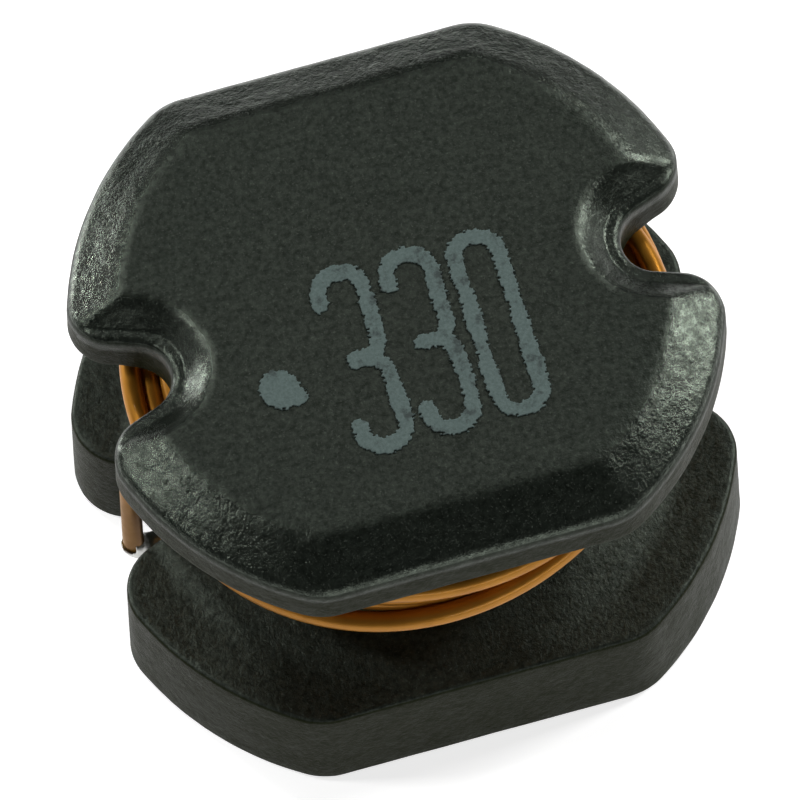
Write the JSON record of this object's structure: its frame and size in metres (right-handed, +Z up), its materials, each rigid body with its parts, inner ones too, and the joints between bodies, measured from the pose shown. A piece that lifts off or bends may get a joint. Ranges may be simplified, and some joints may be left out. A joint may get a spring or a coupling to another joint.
{
  "type": "smd power inductor",
  "caption": "Drum-shaped surface-mount power inductor: a dark ferrite spool with notched ends, a copper wire winding between its flanges and solder pads underneath.",
  "frame": {"origin": "centre of the part's underside, level with the underside of the solder pads, on the axis of the round post", "axes": "+Z up, away from the board; X from one notched end to the other; Y across the two flats"},
  "size_m": [0.0076, 0.007, 0.0055],
  "materials": {
    "ferrite": "dark grey sintered ferrite, finely grained, a dull shine on its bevels",
    "enamelled_wire": "clear enamelled copper wire, glossy orange",
    "pad_plating": "tin plated silver electrode, satin",
    "solder": "tin solder, smooth satin",
    "ink": "matt grey-blue stamped ink"
  },
  "bodies": {
    "root": {"drum_core": "ferrite", "winding": "enamelled_wire", "terminal_pad_left": "pad_plating", "terminal_pad_right": "pad_plating", "solder_left": "solder", "solder_right": "solder", "ink_mark": "ink"}
  },
  "joints": []
}
